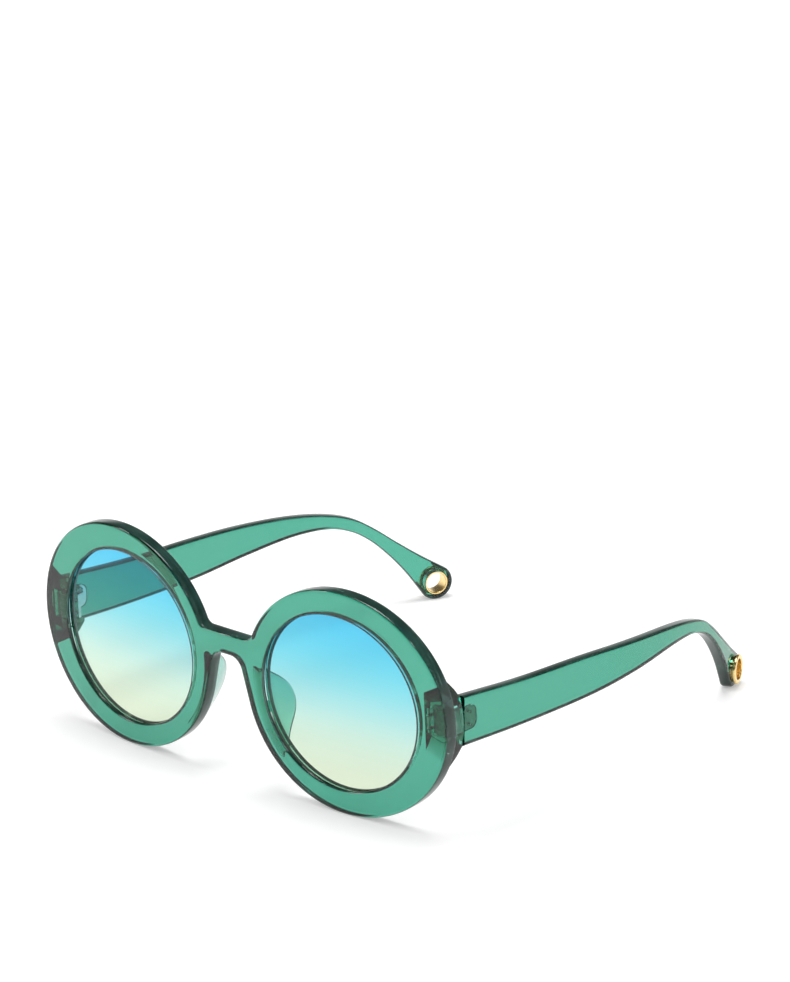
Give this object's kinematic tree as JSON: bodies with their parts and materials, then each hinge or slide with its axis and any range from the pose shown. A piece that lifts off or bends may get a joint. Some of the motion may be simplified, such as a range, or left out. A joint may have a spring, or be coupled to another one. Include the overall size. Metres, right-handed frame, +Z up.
{
  "type": "round sunglasses",
  "caption": "Round sunglasses with a translucent moulded plastic front, gradient-tinted lenses and folding temples that end in metal eyelets.",
  "frame": {"origin": "under the middle of the bounding box, on the plane that the glasses stand on", "axes": "+Z up, -Y the way the lenses look, +X towards the wearer's left"},
  "size_m": [0.147, 0.1446, 0.0619],
  "materials": {
    "front_green": "translucent green, polished",
    "temple_green": "translucent green, polished",
    "lens_tint": "blue tint at the top fading to clear yellow at the bottom",
    "hinge_steel": "satin",
    "screw_steel": "polished",
    "gold": "polished gold colour"
  },
  "bodies": {
    "front": {"front_frame": "front_green", "lens_left": "lens_tint", "lens_right": "lens_tint", "hinge_front_leaf_left": "hinge_steel", "hinge_front_leaf_right": "hinge_steel", "hinge_screw_left": "screw_steel", "hinge_screw_right": "screw_steel", "front_pin_upper_left": "hinge_steel", "front_pin_lower_left": "hinge_steel", "front_pin_upper_right": "hinge_steel", "front_pin_lower_right": "hinge_steel"},
    "temple_left": {"temple_left": "temple_green", "hinge_temple_leaf_left": "hinge_steel", "temple_pin_upper_left": "hinge_steel", "temple_pin_lower_left": "hinge_steel", "eyelet_left": "gold"},
    "temple_right": {"temple_right": "temple_green", "hinge_temple_leaf_right": "hinge_steel", "temple_pin_upper_right": "hinge_steel", "temple_pin_lower_right": "hinge_steel", "eyelet_right": "gold"}
  },
  "joints": [
    {"name": "temple_left_fold", "type": "hinge", "parent": "front", "child": "temple_left", "pos_m": [0.0681, -0.06087, 0.03117], "axis": [0, -0.0332, 0.9995], "range_deg": [0, 84]},
    {"name": "temple_right_fold", "type": "hinge", "parent": "front", "child": "temple_right", "pos_m": [-0.0681, -0.06087, 0.03117], "axis": [0, 0.0332, -0.9995], "range_deg": [0, 76]}
  ]
}
